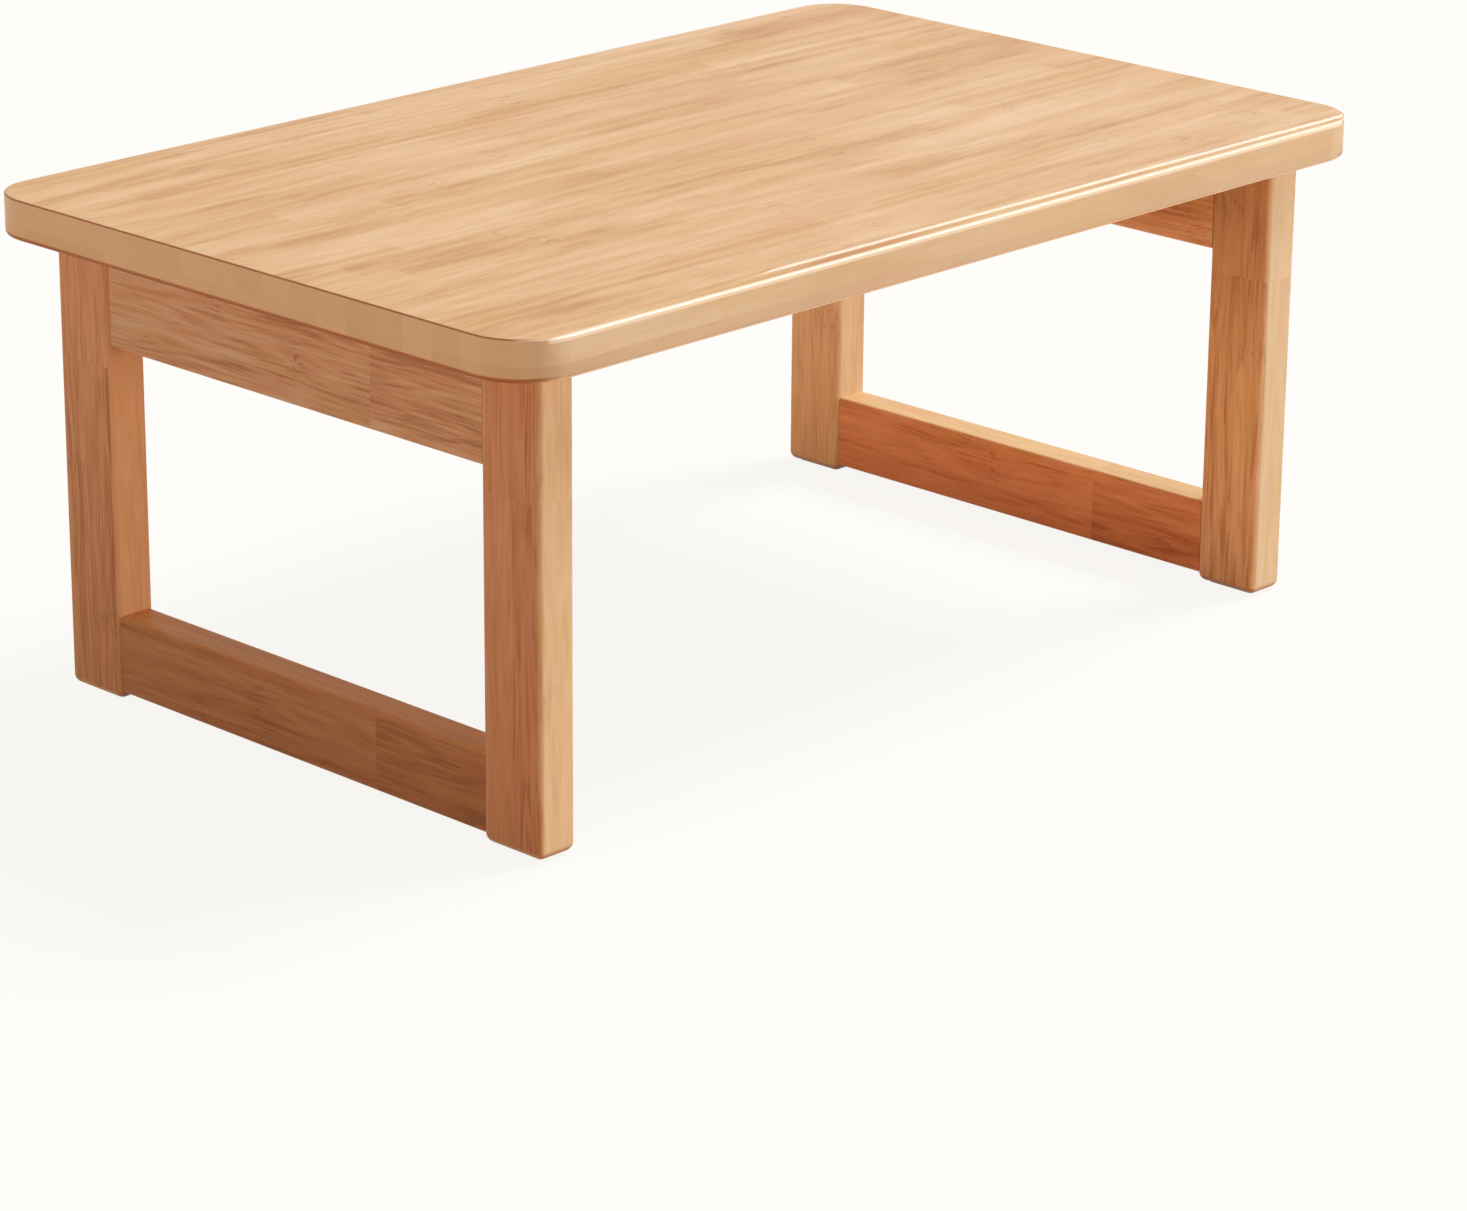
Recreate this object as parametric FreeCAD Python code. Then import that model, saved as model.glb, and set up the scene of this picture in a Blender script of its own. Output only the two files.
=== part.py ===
import FreeCAD, Part
import math
import os

# Folding floor table, in millimetres.
# X runs along the long side, Y across, Z up, with the origin on the floor under the middle.
# Left is -X, right is +X, front is -Y and rear is +Y.

# Table top
table_length = 800.0
table_width = 500.0
table_height = 340.0
panel_thickness = 17.0
strip_thickness = 10.0
corner_radius = 40.0
panel_round = 1.5
ease_width = 16.0
ease_drop = 0.8
strip_round = 2.5
strip_clearance = 2.0

# Leg frames
end_inset = 39.5
side_inset = 27.0
post_width = 50.0
post_thickness = 30.0
post_round = 4.0
foot_round = 6.0
bearing_gap = 0.2
upper_rail_bottom = 242.0
lower_rail_top = 59.0
lower_rail_bottom = 6.0
rail_recess = 2.0
rail_drop = 2.0
rail_round = 2.5

# Mortise and tenon joints between rails and posts
tenon_length = 24.0
tenon_thickness = 10.0
tenon_shoulder = 9.0
tenon_clearance = 0.1
mortise_end_gap = 1.0

# Felt pads under the posts
pad_thickness = 1.2
pad_margin = 0.5
pad_round = 2.0

# Folding brackets, bent from sheet steel
sheet = 2.0
bend_radius = 1.5
bracket_spacing = 180.0
ear_gap = 36.0
ear_clearance = 0.3
ear_wall = 4.0
flange = 12.0
plate_round = 5.0
plate_front = 6.0
plate_reach = 50.0
window_reach = 26.0
leg_plate_drop = 44.0
leg_window_drop = 22.0
swing_clearance = 1.0

# Hinge pins, riveted over at both ends
pin_radius = 3.0
pin_running_fit = 0.05
pin_fixed_fit = 0.02
pin_head_rim = 2.2
pin_head_height = 1.8
pin_head_bevel = 1.0

# Detent springs, which press on the flats of the leg brackets
cam_wall = 2.8
cam_round = 2.5
spring_thickness = 1.2
spring_seat_gap = 0.2
spring_finger = 8.0
spring_side_gap = 1.0
spring_end_margin = 4.0
spring_tip_lift = 0.8
spring_tip_length = 3.0
spring_round = 2.0
rivet_radius = 2.0
rivet_head_rim = 1.4
rivet_head_height = 1.1
rivet_head_bevel = 1.3
rivet_edge = 12.0
rivet_spacing = 20.0

# Countersunk wood screws
screw_radius = 2.0
screw_head_radius = 3.8
screw_point = 3.0
screw_fit = 0.02
screw_edge = 8.0
top_screw_length = 14.0
leg_screw_length = 17.0
pilot_end_gap = 0.1

# Levels and places worked out from the sizes above
panel_underside = table_height - panel_thickness
strip_underside = panel_underside - strip_thickness
post_top = panel_underside - bearing_gap
post_outer = -table_length / 2 + end_inset
post_inner = post_outer + post_thickness
post_side = table_width / 2 - side_inset
rail_half = post_side - post_width
rail_outer = post_outer + rail_recess
rail_inner = post_inner - rail_recess
ear_radius = pin_radius + ear_wall
cam_flat = pin_radius + cam_wall
pivot_drop = cam_flat + spring_seat_gap + spring_thickness + sheet
pivot_x = rail_inner + sheet + swing_clearance + ear_radius
pivot_z = panel_underside - pivot_drop
swing_radius = math.hypot(pivot_x - post_outer, post_top - pivot_z)
side_strip = side_inset - strip_clearance
end_strip = table_length / 2 + pivot_x - swing_radius - strip_clearance
ear_half = ear_gap / 2
plate_half = ear_half + sheet + flange
leg_ear_half = ear_half - ear_clearance
leg_face = rail_inner - pivot_x
bracket_places = (-bracket_spacing / 2, bracket_spacing / 2)
tiny = 0.001


def vec(x, y, z):
    return FreeCAD.Vector(x, y, z)


def block(x0, x1, y0, y1, z0, z1):
    return Part.makeBox(x1 - x0, y1 - y0, z1 - z0, vec(x0, y0, z0))


def rod(radius, start, direction, length):
    return Part.makeCylinder(radius, length, start, direction)


def upright_edges(shape):
    found = []
    for edge in shape.Edges:
        box = edge.BoundBox
        if box.XLength < tiny and box.YLength < tiny:
            found.append(edge)
    return found


def edges_along_y(shape):
    found = []
    for edge in shape.Edges:
        box = edge.BoundBox
        if box.XLength < tiny and box.ZLength < tiny:
            found.append(edge)
    return found


def edges_at_height(shape, height):
    found = []
    for edge in shape.Edges:
        box = edge.BoundBox
        if abs(box.ZMin - height) < tiny and abs(box.ZMax - height) < tiny:
            found.append(edge)
    return found


def side_profile(edges, y0, y1):
    face = Part.Face(Part.Wire(edges))
    solid = face.extrude(vec(0, y1 - y0, 0))
    solid.translate(vec(0, y0, 0))
    return solid


def line(a, b):
    return Part.LineSegment(vec(a[0], 0, a[1]), vec(b[0], 0, b[1])).toShape()


def arc(a, middle, b):
    return Part.Arc(vec(a[0], 0, a[1]), vec(middle[0], 0, middle[1]), vec(b[0], 0, b[1])).toShape()


def turned(shape):
    other = shape.copy()
    other.rotate(vec(0, 0, 0), vec(0, 0, 1), 180)
    return other


# Table top: a panel with eased long edges, and edge strips glued under its rim

def make_board():
    half = table_width / 2
    flat = half - ease_width
    eased = table_height - ease_drop
    ease_radius = (ease_width ** 2 + ease_drop ** 2) / (2 * ease_drop)
    middle = half - ease_width / 2
    sag = table_height - ease_radius + math.sqrt(ease_radius ** 2 - (ease_width / 2) ** 2)
    outline = [
        line((-half, panel_underside), (half, panel_underside)),
        line((half, panel_underside), (half, eased)),
        arc((half, eased), (middle, sag), (flat, table_height)),
        line((flat, table_height), (-flat, table_height)),
        arc((-flat, table_height), (-middle, sag), (-half, eased)),
        line((-half, eased), (-half, panel_underside)),
    ]
    board = side_profile(outline, -table_length / 2, table_length / 2)
    board.rotate(vec(0, 0, 0), vec(0, 0, 1), 90)
    board = board.makeFillet(corner_radius, upright_edges(board))
    rim = []
    for edge in board.Edges:
        box = edge.BoundBox
        at_ease = box.YLength < tiny and abs(abs(box.YMin) - flat) < tiny
        if box.ZMin > eased - tiny and not at_ease:
            rim.append(edge)
    return board.makeFillet(panel_round, rim)


def make_panel():
    panel = make_board()
    for screw_x, screw_y in top_screw_places():
        depth = top_screw_length - sheet + pilot_end_gap
        pilot = rod(screw_radius + screw_fit, vec(screw_x, screw_y, panel_underside), vec(0, 0, 1), depth)
        panel = panel.cut(pilot.fuse(turned(pilot)))
    return panel


def make_strips():
    half_length = table_length / 2
    half_width = table_width / 2
    rim = block(-half_length, half_length, -half_width, half_width, strip_underside, panel_underside)
    rim = rim.makeFillet(corner_radius, upright_edges(rim))
    rim = rim.makeFillet(strip_round, edges_at_height(rim, strip_underside))
    inner_side = half_width - side_strip
    inner_end = half_length - end_strip
    front = block(-half_length, half_length, -half_width, -inner_side, strip_underside, panel_underside)
    left = block(-half_length, -inner_end, -inner_side, inner_side, strip_underside, panel_underside)
    return rim.common(front), rim.common(left)


# Leg frame: two posts, an upper and a lower rail, mortise and tenon

def rail_levels():
    return ((lower_rail_bottom, lower_rail_top), (upper_rail_bottom, post_top - rail_drop))


def make_post():
    post = block(post_outer, post_inner, -post_side, -rail_half, pad_thickness, post_top)
    post = post.makeFillet(post_round, upright_edges(post))
    post = post.makeFillet(foot_round, edges_at_height(post, pad_thickness))
    middle = (post_outer + post_inner) / 2
    reach = tenon_thickness / 2 + tenon_clearance
    for low, high in rail_levels():
        bottom = low + tenon_shoulder - tenon_clearance
        top = high - tenon_shoulder + tenon_clearance
        deep = -rail_half - tenon_length - mortise_end_gap
        post = post.cut(block(middle - reach, middle + reach, deep, -rail_half, bottom, top))
    return post


def make_rail(low, high):
    rail = block(rail_outer, rail_inner, -rail_half, rail_half, low, high)
    rail = rail.makeFillet(rail_round, edges_along_y(rail))
    middle = (rail_outer + rail_inner) / 2
    reach = rail_half + tenon_length
    tenons = block(middle - tenon_thickness / 2, middle + tenon_thickness / 2,
                   -reach, reach, low + tenon_shoulder, high - tenon_shoulder)
    return rail.fuse(tenons).removeSplitter()


def make_upper_rail():
    rail = make_rail(*rail_levels()[1])
    for screw_y, screw_z in leg_screw_places():
        depth = leg_screw_length - sheet + pilot_end_gap
        rail = rail.cut(rod(screw_radius + screw_fit, vec(rail_inner, screw_y, screw_z), vec(-1, 0, 0), depth))
    return rail


def make_pad():
    inset = foot_round + pad_margin
    pad = block(post_outer + inset, post_inner - inset, -post_side + inset, -rail_half - inset, 0, pad_thickness)
    return pad.makeFillet(pad_round, upright_edges(pad))


# Folding brackets, drawn with the pivot at the origin and +X towards the middle of the table

def tangent_angle(point):
    distance = math.hypot(point[0], point[1])
    return math.atan2(point[1], point[0]) - math.acos(ear_radius / distance)


def make_top_bracket():
    top = pivot_drop
    under = pivot_drop - sheet
    plate = block(-plate_front, plate_reach, -plate_half, plate_half, under, top)
    plate = plate.makeFillet(plate_round, upright_edges(plate))
    plate = plate.cut(block(-plate_front, window_reach, -ear_half, ear_half, under, top))
    corner = (window_reach, under)
    angle = tangent_angle(corner)
    touch = (ear_radius * math.cos(angle), ear_radius * math.sin(angle))
    outline = [
        line((-plate_front, top), (-plate_front, under)),
        line((-plate_front, under), (-ear_radius, 0)),
        arc((-ear_radius, 0), (0, -ear_radius), touch),
        line(touch, corner),
        line(corner, (window_reach, top)),
        line((window_reach, top), (-plate_front, top)),
    ]
    bracket = plate
    for start in (-ear_half - sheet, ear_half):
        bracket = bracket.fuse(side_profile(outline, start, start + sheet))
    bracket = bracket.removeSplitter()
    bends = []
    for edge in bracket.Edges:
        box = edge.BoundBox
        outside = abs(abs(box.YMin) - ear_half - sheet) < tiny and abs(box.ZMin - under) < tiny
        if box.YLength < tiny and box.ZLength < tiny and outside:
            bends.append(edge)
    bracket = bracket.makeFillet(bend_radius, bends)
    pin_hole = rod(pin_radius + pin_fixed_fit, vec(0, -plate_half, 0), vec(0, 1, 0), 2 * plate_half)
    bracket = bracket.cut(pin_hole)
    for screw_x, screw_y in bracket_screw_places():
        bracket = bracket.cut(screw_hole(vec(screw_x, screw_y, under), vec(0, 0, 1)))
    for rivet_y in (-rivet_spacing / 2, rivet_spacing / 2):
        hole = rod(rivet_radius + pin_fixed_fit, vec(plate_reach - rivet_edge, rivet_y, under), vec(0, 0, 1), sheet)
        bracket = bracket.cut(hole)
    return bracket


def make_leg_bracket():
    back = leg_face
    front = leg_face + sheet
    bottom = -leg_plate_drop
    plate = block(back, front, -plate_half, plate_half, bottom, cam_flat)
    corners = []
    for edge in plate.Edges:
        box = edge.BoundBox
        if box.YLength < tiny and box.ZLength < tiny:
            corners.append(edge)
    plate = plate.makeFillet(plate_round, corners)
    inner = leg_ear_half - sheet
    plate = plate.cut(block(back, front, -inner, inner, -leg_window_drop, cam_flat))
    edge_start = cam_flat - cam_round
    bulge = edge_start + cam_round * math.sqrt(0.5)
    outline = [
        line((back, cam_flat), (edge_start, cam_flat)),
        arc((edge_start, cam_flat), (bulge, bulge), (cam_flat, edge_start)),
        line((cam_flat, edge_start), (cam_flat, -cam_flat)),
        line((cam_flat, -cam_flat), (front, -leg_window_drop)),
        line((front, -leg_window_drop), (back, -leg_window_drop)),
        line((back, -leg_window_drop), (back, cam_flat)),
    ]
    bracket = plate
    for start in (-leg_ear_half, inner):
        bracket = bracket.fuse(side_profile(outline, start, start + sheet))
    bracket = bracket.removeSplitter()
    bends = []
    for edge in bracket.Edges:
        box = edge.BoundBox
        outside = abs(abs(box.YMin) - leg_ear_half) < tiny and abs(box.XMin - front) < tiny
        if box.YLength < tiny and box.XLength < tiny and outside:
            bends.append(edge)
    bracket = bracket.makeFillet(bend_radius, bends)
    pin_hole = rod(pin_radius + pin_running_fit, vec(0, -plate_half, 0), vec(0, 1, 0), 2 * plate_half)
    bracket = bracket.cut(pin_hole)
    for screw_y, screw_z in leg_plate_screw_places():
        bracket = bracket.cut(screw_hole(vec(front, screw_y, screw_z), vec(-1, 0, 0)))
    return bracket


def make_pin():
    half = ear_half + sheet
    rim = pin_radius + pin_head_rim
    collar = pin_head_height - pin_head_bevel
    along = vec(0, 1, 0)
    head = rod(rim, vec(0, half, 0), along, collar)
    crown = Part.makeCone(rim, rim - pin_head_bevel, pin_head_bevel, vec(0, half + collar, 0), along)
    head = head.fuse(crown)
    shank = rod(pin_radius, vec(0, -half, 0), along, 2 * half)
    return shank.fuse([head, mirrored_front(head)]).removeSplitter()


def make_spring():
    upper = pivot_drop - sheet
    lower = upper - spring_thickness
    tip = -plate_front
    bend = tip + spring_tip_length
    end = plate_reach - spring_end_margin
    lift = spring_tip_lift
    half = ear_half - spring_side_gap
    outline = [
        line((tip, lower + lift), (bend, lower)),
        line((bend, lower), (end, lower)),
        line((end, lower), (end, upper)),
        line((end, upper), (bend, upper)),
        line((bend, upper), (tip, upper + lift)),
        line((tip, upper + lift), (tip, lower + lift)),
    ]
    spring = side_profile(outline, -half, half)
    slot = block(tip, window_reach, -half + spring_finger, half - spring_finger, lower, upper + lift)
    spring = spring.cut(slot)
    outer_corners = []
    for edge in upright_edges(spring):
        box = edge.BoundBox
        at_end = abs(box.XMin - end) < tiny or abs(box.XMin - tip) < tiny
        if at_end and abs(abs(box.YMin) - half) < tiny:
            outer_corners.append(edge)
    spring = spring.makeFillet(spring_round, outer_corners)
    for rivet_y in (-rivet_spacing / 2, rivet_spacing / 2):
        start = vec(plate_reach - rivet_edge, rivet_y, lower)
        spring = spring.cut(rod(rivet_radius + pin_fixed_fit, start, vec(0, 0, 1), spring_thickness))
    return spring


def make_rivet(rivet_y):
    top = pivot_drop
    head_top = pivot_drop - sheet - spring_thickness
    crown = head_top - rivet_head_height
    rim = rivet_radius + rivet_head_rim
    shank = rod(rivet_radius, vec(0, 0, head_top), vec(0, 0, 1), top - head_top)
    head = Part.makeCone(rim - rivet_head_bevel, rim, rivet_head_height, vec(0, 0, crown), vec(0, 0, 1))
    rivet = shank.fuse(head).removeSplitter()
    rivet.translate(vec(plate_reach - rivet_edge, rivet_y, 0))
    return rivet


# Screws: where they go, the holes that take them and the screws themselves

def bracket_screw_places():
    across = ear_half + sheet + flange / 2
    places = []
    for x in (screw_edge - plate_front, plate_reach - screw_edge):
        for y in (-across, across):
            places.append((x, y))
    return places


def leg_plate_screw_places():
    across = ear_half + sheet + flange / 2
    places = []
    for z in (cam_flat - screw_edge, screw_edge - leg_plate_drop):
        for y in (-across, across):
            places.append((y, z))
    return places


def top_screw_places():
    places = []
    for middle in bracket_places:
        for x, y in bracket_screw_places():
            places.append((pivot_x + x, middle + y))
    return places


def leg_screw_places():
    places = []
    for middle in bracket_places:
        for y, z in leg_plate_screw_places():
            places.append((middle + y, pivot_z + z))
    return places


def screw_hole(start, direction):
    taper = screw_head_radius - screw_radius
    cone = Part.makeCone(screw_head_radius + screw_fit, screw_radius + screw_fit, taper, start, direction)
    return cone.fuse(rod(screw_radius + screw_fit, start, direction, sheet))


def make_screw(start, direction, length):
    taper = screw_head_radius - screw_radius
    head = Part.makeCone(screw_head_radius, screw_radius, taper)
    shank = Part.makeCylinder(screw_radius, length - screw_point - taper, vec(0, 0, taper))
    point = Part.makeCone(screw_radius, 0, screw_point, vec(0, 0, length - screw_point))
    screw = head.fuse([shank, point]).removeSplitter()
    screw.Placement = FreeCAD.Placement(start, FreeCAD.Rotation(vec(0, 0, 1), direction))
    return screw


def make_top_screws():
    screws = []
    for x, y in top_screw_places():
        screws.append(make_screw(vec(x, y, panel_underside - sheet), vec(0, 0, 1), top_screw_length))
    return Part.makeCompound(screws)


def make_leg_screws():
    screws = []
    for y, z in leg_screw_places():
        screws.append(make_screw(vec(rail_inner + sheet, y, z), vec(-1, 0, 0), leg_screw_length))
    return Part.makeCompound(screws)


def make_spring_rivets():
    rivets = []
    for middle in bracket_places:
        for offset in (-rivet_spacing / 2, rivet_spacing / 2):
            rivet = make_rivet(offset)
            rivet.translate(vec(pivot_x, middle, pivot_z))
            rivets.append(rivet)
    return Part.makeCompound(rivets)


def at_bracket(shape, middle):
    placed = shape.copy()
    placed.translate(vec(pivot_x, middle, pivot_z))
    return placed


# All pieces: the left frame is drawn, and half a turn about Z gives the right one

def mirrored_front(shape):
    return shape.mirror(vec(0, 0, 0), vec(0, 1, 0))


def all_pieces():
    pieces = {"top_panel": make_panel()}
    front_strip, left_strip = make_strips()
    pieces["front_edge_strip"] = front_strip
    pieces["rear_edge_strip"] = turned(front_strip)
    pieces["left_edge_strip"] = left_strip
    pieces["right_edge_strip"] = turned(left_strip)

    front_post = make_post()
    front_pad = make_pad()
    left = {
        "upper_rail": make_upper_rail(),
        "lower_rail": make_rail(*rail_levels()[0]),
        "front_post": front_post,
        "rear_post": mirrored_front(front_post),
        "front_foot_pad": front_pad,
        "rear_foot_pad": mirrored_front(front_pad),
        "top_bracket_screws": make_top_screws(),
        "leg_bracket_screws": make_leg_screws(),
        "spring_rivets": make_spring_rivets(),
    }
    hardware = {
        "top_bracket": make_top_bracket(),
        "leg_bracket": make_leg_bracket(),
        "hinge_pin": make_pin(),
        "detent_spring": make_spring(),
    }
    for place, middle in zip(("front", "rear"), bracket_places):
        for name, shape in hardware.items():
            left[place + "_" + name] = at_bracket(shape, middle)

    swapped = {"front": "rear", "rear": "front"}
    for name, shape in left.items():
        pieces["left_" + name] = shape
        first, _, rest = name.partition("_")
        other = swapped[first] + "_" + rest if first in swapped else name
        pieces["right_" + other] = turned(shape)
    return pieces


os.makedirs("parts", exist_ok=True)
for piece_name, piece in all_pieces().items():
    piece.exportStep("parts/" + piece_name + ".step")
    print(piece_name, len(piece.Solids), round(piece.Volume, 1), piece.isValid())
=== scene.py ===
import bmesh
import bpy
import math
from mathutils import Matrix, Quaternion, Vector


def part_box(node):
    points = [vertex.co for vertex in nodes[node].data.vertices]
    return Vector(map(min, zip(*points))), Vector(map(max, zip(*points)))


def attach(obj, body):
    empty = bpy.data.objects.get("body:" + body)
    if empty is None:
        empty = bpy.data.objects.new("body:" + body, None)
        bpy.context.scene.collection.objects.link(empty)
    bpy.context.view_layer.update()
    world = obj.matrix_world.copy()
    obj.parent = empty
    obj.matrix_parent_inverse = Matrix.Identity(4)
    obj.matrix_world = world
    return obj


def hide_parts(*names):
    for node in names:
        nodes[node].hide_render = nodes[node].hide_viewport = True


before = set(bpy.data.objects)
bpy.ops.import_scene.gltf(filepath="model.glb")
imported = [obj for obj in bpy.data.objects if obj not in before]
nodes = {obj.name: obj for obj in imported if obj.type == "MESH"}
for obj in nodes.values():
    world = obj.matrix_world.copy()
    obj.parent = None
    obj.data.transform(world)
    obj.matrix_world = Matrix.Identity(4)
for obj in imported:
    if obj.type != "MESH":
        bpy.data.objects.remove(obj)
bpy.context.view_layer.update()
print("frame loaded with", len(nodes), "nodes")

millimetre = 0.001


def linear(hexColour):
    # sRGB hex to the linear colour that a shader socket takes
    parts = [int(hexColour[i:i + 2], 16) / 255 for i in (1, 3, 5)]
    return [p / 12.92 if p <= 0.04045 else ((p + 0.055) / 1.055) ** 2.4 for p in parts] + [1.0]


def addNode(tree, kind, links=None, stops=None, **settings):
    # one node with its settings; links are sockets, nodes or plain values by input name or number
    node = tree.nodes.new("ShaderNode" + kind)
    for setting, value in settings.items():
        setattr(node, setting, value)
    for place, value in (links or {}).items():
        if isinstance(place, str):
            socket = next(s for s in node.inputs if s.enabled and s.name == place)
        else:
            socket = node.inputs[place]
        if hasattr(value, "outputs"):
            value = next(s for s in value.outputs if s.enabled)
        if isinstance(value, bpy.types.NodeSocket):
            tree.links.new(value, socket)
        else:
            socket.default_value = value
    for number, (position, hexColour) in enumerate(stops or []):
        elements = node.color_ramp.elements
        element = elements[number] if number < len(elements) else elements.new(position)
        element.position = position
        element.color = linear(hexColour)
    return node


def newMaterial(name):
    material = bpy.data.materials.new(name)
    material.use_nodes = True
    material.node_tree.nodes.clear()
    return material, material.node_tree


def dress(piece, material):
    piece.data.materials.clear()
    piece.data.materials.append(material)


# Laminated bamboo, planed and lacquered: long soft streaks that wander a little, nested growth
# lines, faint steps of tone from stave to stave and now and then the ragged mark of a knuckle.
# Sizes are in millimetres, along and across the grain where there are two. The finest fibres are
# drawn a little coarser than life so that they show. Axes: grain, width and depth of a stave.
bambooTop = {
    "axes": "XYZ", "staveWidth": 25.0, "staveDepth": 17.0, "depthStart": 323.0,
    "blockLength": 260.0, "blockStart": 40.0, "stagger": 1.0, "restart": 0.0,
    "driftSize": (300.0, 80.0), "drift": 12.0,
    "broad": (170.0, 30.0), "streak": (70.0, 7.0), "fibre": (26.0, 1.8), "hue": (200.0, 40.0),
    "rings": (900.0, 36.0), "ringCount": 6.0, "raggedness": 0.6,
    "detail": {"drift": 1.0, "broad": 2.0, "streak": 3.0, "fibre": 2.0, "hue": 1.0, "rings": 0.0,
               "fleck": 2.0, "mottle": 2.0},
    "contrast": {"block": 0.18, "broad": 0.8, "streak": 0.46, "fibre": 0.3, "rings": 0.16},
    "dark": "#BF8F48", "middle": "#D8BE98", "pale": "#E8D6C4", "toneStops": (0.22, 0.5, 0.78),
    "rose": "#DCB896", "roseLimits": (0.52, 0.72), "honey": "#D5B681", "honeyLimits": (0.48, 0.28),
    "hueShare": 0.5, "edgeCalm": 0.7,
    "fleck": "#A36328", "fleckSize": (45.0, 2.6), "fleckShare": 0.28, "fleckLimits": (0.59, 0.72),
    "knuckleShare": 0.5, "knuckleRarity": 0.55, "knuckleReach": 18.0, "knucklePlaces": (0.2, 0.8),
    "mottle": (9.0, 2.4), "mottleLimits": (0.52, 0.68),
    # the two tints are painted light and shade on the broad faces
    "outerLightTint": "#F6DAB6", "innerLightTint": "#F6DAB6", "paintedFootShade": None,
    "end": "#C0A27E", "endShade": "#B0906B", "endStrength": 0.9, "endLimits": (0.15, 0.5),
    "arrisSlope": 0.62, "arrisSpread": (0.2, 0.35),
    # the dark end arris colour is a stain on the top arris and painted shade on the lower arris; the
    # pale long arris colour is a painted highlight; the low band is painted shade at the foot of the
    # end grain
    "endArris": "#965A1C", "endArrisStrength": 0.95, "endArrisLimits": (0.12, 0.3),
    "arrisHighlight": "#FAE9D0", "arrisHighlightStrength": 0.7, "arrisHighlightLimits": (0.45, 0.65),
    "arrisPlace": (250.0, 339.2), "arrisBand": (2.4, 3.2), "paintedLowShade": (313.0, 2.6, 3.6),
    "roughness": (0.4, 0.55), "specular": 0.12, "coat": 0.3, "coatRoughness": 0.06, "ior": 1.5,
    "bumpStrength": 0.1, "bumpDepth": 0.1, "seed": 3.0,
}
# the strips under the rim are a shade greyer and less glossy; their dark colour along the lower arris
# of the end grain is painted shade
bambooStrip = dict(
    bambooTop, dark="#B08861", middle="#D1B592", pale="#DEC9AB", endArris="#904A12",
    coat=0.05, specular=0.2, seed=5.0)
# posts have fine upright staves in two blocks; their broad faces are painted redder than the edges,
# which is painted shade
bambooPost = dict(
    bambooTop, axes="ZYX", staveDepth=15.0, depthStart=0.0,
    blockLength=228.0, blockStart=0.0, stagger=0.0, restart=400.0, driftSize=(90.0, 30.0), drift=6.0,
    broad=(140.0, 9.0), streak=(80.0, 2.6), fibre=(32.0, 1.0), hue=(80.0, 14.0),
    rings=(150.0, 12.0), ringCount=5.0,
    contrast={"block": 0.25, "broad": 0.75, "streak": 0.65, "fibre": 0.55, "rings": 0.2},
    dark="#BA8A5C", middle="#DFBF94", pale="#E8CBA0", rose="#D9AE86", honey="#D6B47C",
    hueShare=0.6, edgeCalm=0.6,
    fleck="#8E4C1E", fleckSize=(60.0, 1.4), fleckShare=0.32, fleckLimits=(0.57, 0.78),
    knuckleShare=0.6, knuckleRarity=0.45, mottle=(7.0, 1.2),
    outerLightTint="#CAA89B", innerLightTint="#FFE1CD", paintedFootShade="#F3E7D4", footHeight=170.0,
    end="#B18156", endShade="#A87448", endArrisStrength=0.0, arrisHighlightStrength=0.0, paintedLowShade=None,
    roughness=(0.45, 0.6), specular=0.25, coat=0.1, coatRoughness=0.2, seed=11.0)
# each post has its own colours: the left rear post is painted more orange as painted shade, one is
# paler, and the right rear post is brighter inside as painted light
bambooLeftRearPost = dict(
    bambooPost, dark="#B77442", middle="#DCA16D", pale="#E5AB77", rose="#D69362", honey="#D3975A",
    outerLightTint="#D1D3DE", innerLightTint="#FFF7F4", seed=13.0)
bambooRightFrontPost = dict(
    bambooPost, dark="#B98E63", middle="#DEC59E", pale="#E7D1AB", rose="#D8B38F", honey="#D5BA84",
    outerLightTint="#D8BC9E", innerLightTint="#FFDFC6", paintedFootShade=None, edgeCalm=0.75, seed=19.0)
bambooRightRearPost = dict(bambooPost, outerLightTint="#D8BC9E", innerLightTint="#FFF2EE", seed=17.0)
# rails run from front to rear, two staves deep and two blocks long, with the darker block in front
bambooUpperRail = dict(
    bambooPost, axes="YZX", staveWidth=26.0, blockLength=250.0, blockStart=-74.0, fibre=(45.0, 1.1),
    contrast={"block": 0.28, "broad": 0.9, "streak": 0.55, "fibre": 0.9, "rings": 0.25},
    dark="#A97A52", middle="#CEA279", pale="#D2B692", rose="#C8946E", honey="#C6A16F",
    fleck="#754018", outerLightTint="#E0DCE0", innerLightTint="#FFFFFF", paintedFootShade=None,
    specular=0.2, coat=0.05, seed=282.0)
# the right upper rail is painted a saturated orange: painted shade, as it lies under the board
bambooRightUpperRail = dict(
    bambooUpperRail, dark="#D89A68", middle="#FFC493", pale="#FFDBB0", rose="#FAB486",
    honey="#F7C389", fleck="#8E4C1E", outerLightTint="#BDB9A3", seed=230.0)
bambooLowerRail = dict(
    bambooUpperRail,
    contrast={"block": 0.24, "broad": 0.85, "streak": 0.45, "fibre": 0.7, "rings": 0.2},
    dark="#B28650", middle="#D8B17C", pale="#E2C594", rose="#D1A270", honey="#D0B06E",
    fleck="#8E4C1E", outerLightTint="#DCC3AC", innerLightTint="#FFCEC1", paintedFootShade="#F8E4D8", footHeight=85.0,
    seed=46.0)
# the left lower rail is painted more orange: painted shade on its top face, which lies under the table
bambooLeftLowerRail = dict(
    bambooLowerRail, dark="#BB763B", middle="#E39C5D", pale="#EEAF70", rose="#DC8F54",
    honey="#DB9B53", outerLightTint="#B2B2BD", innerLightTint="#DDECFE", paintedFootShade="#EDDCD2", seed=31.0)


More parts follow.
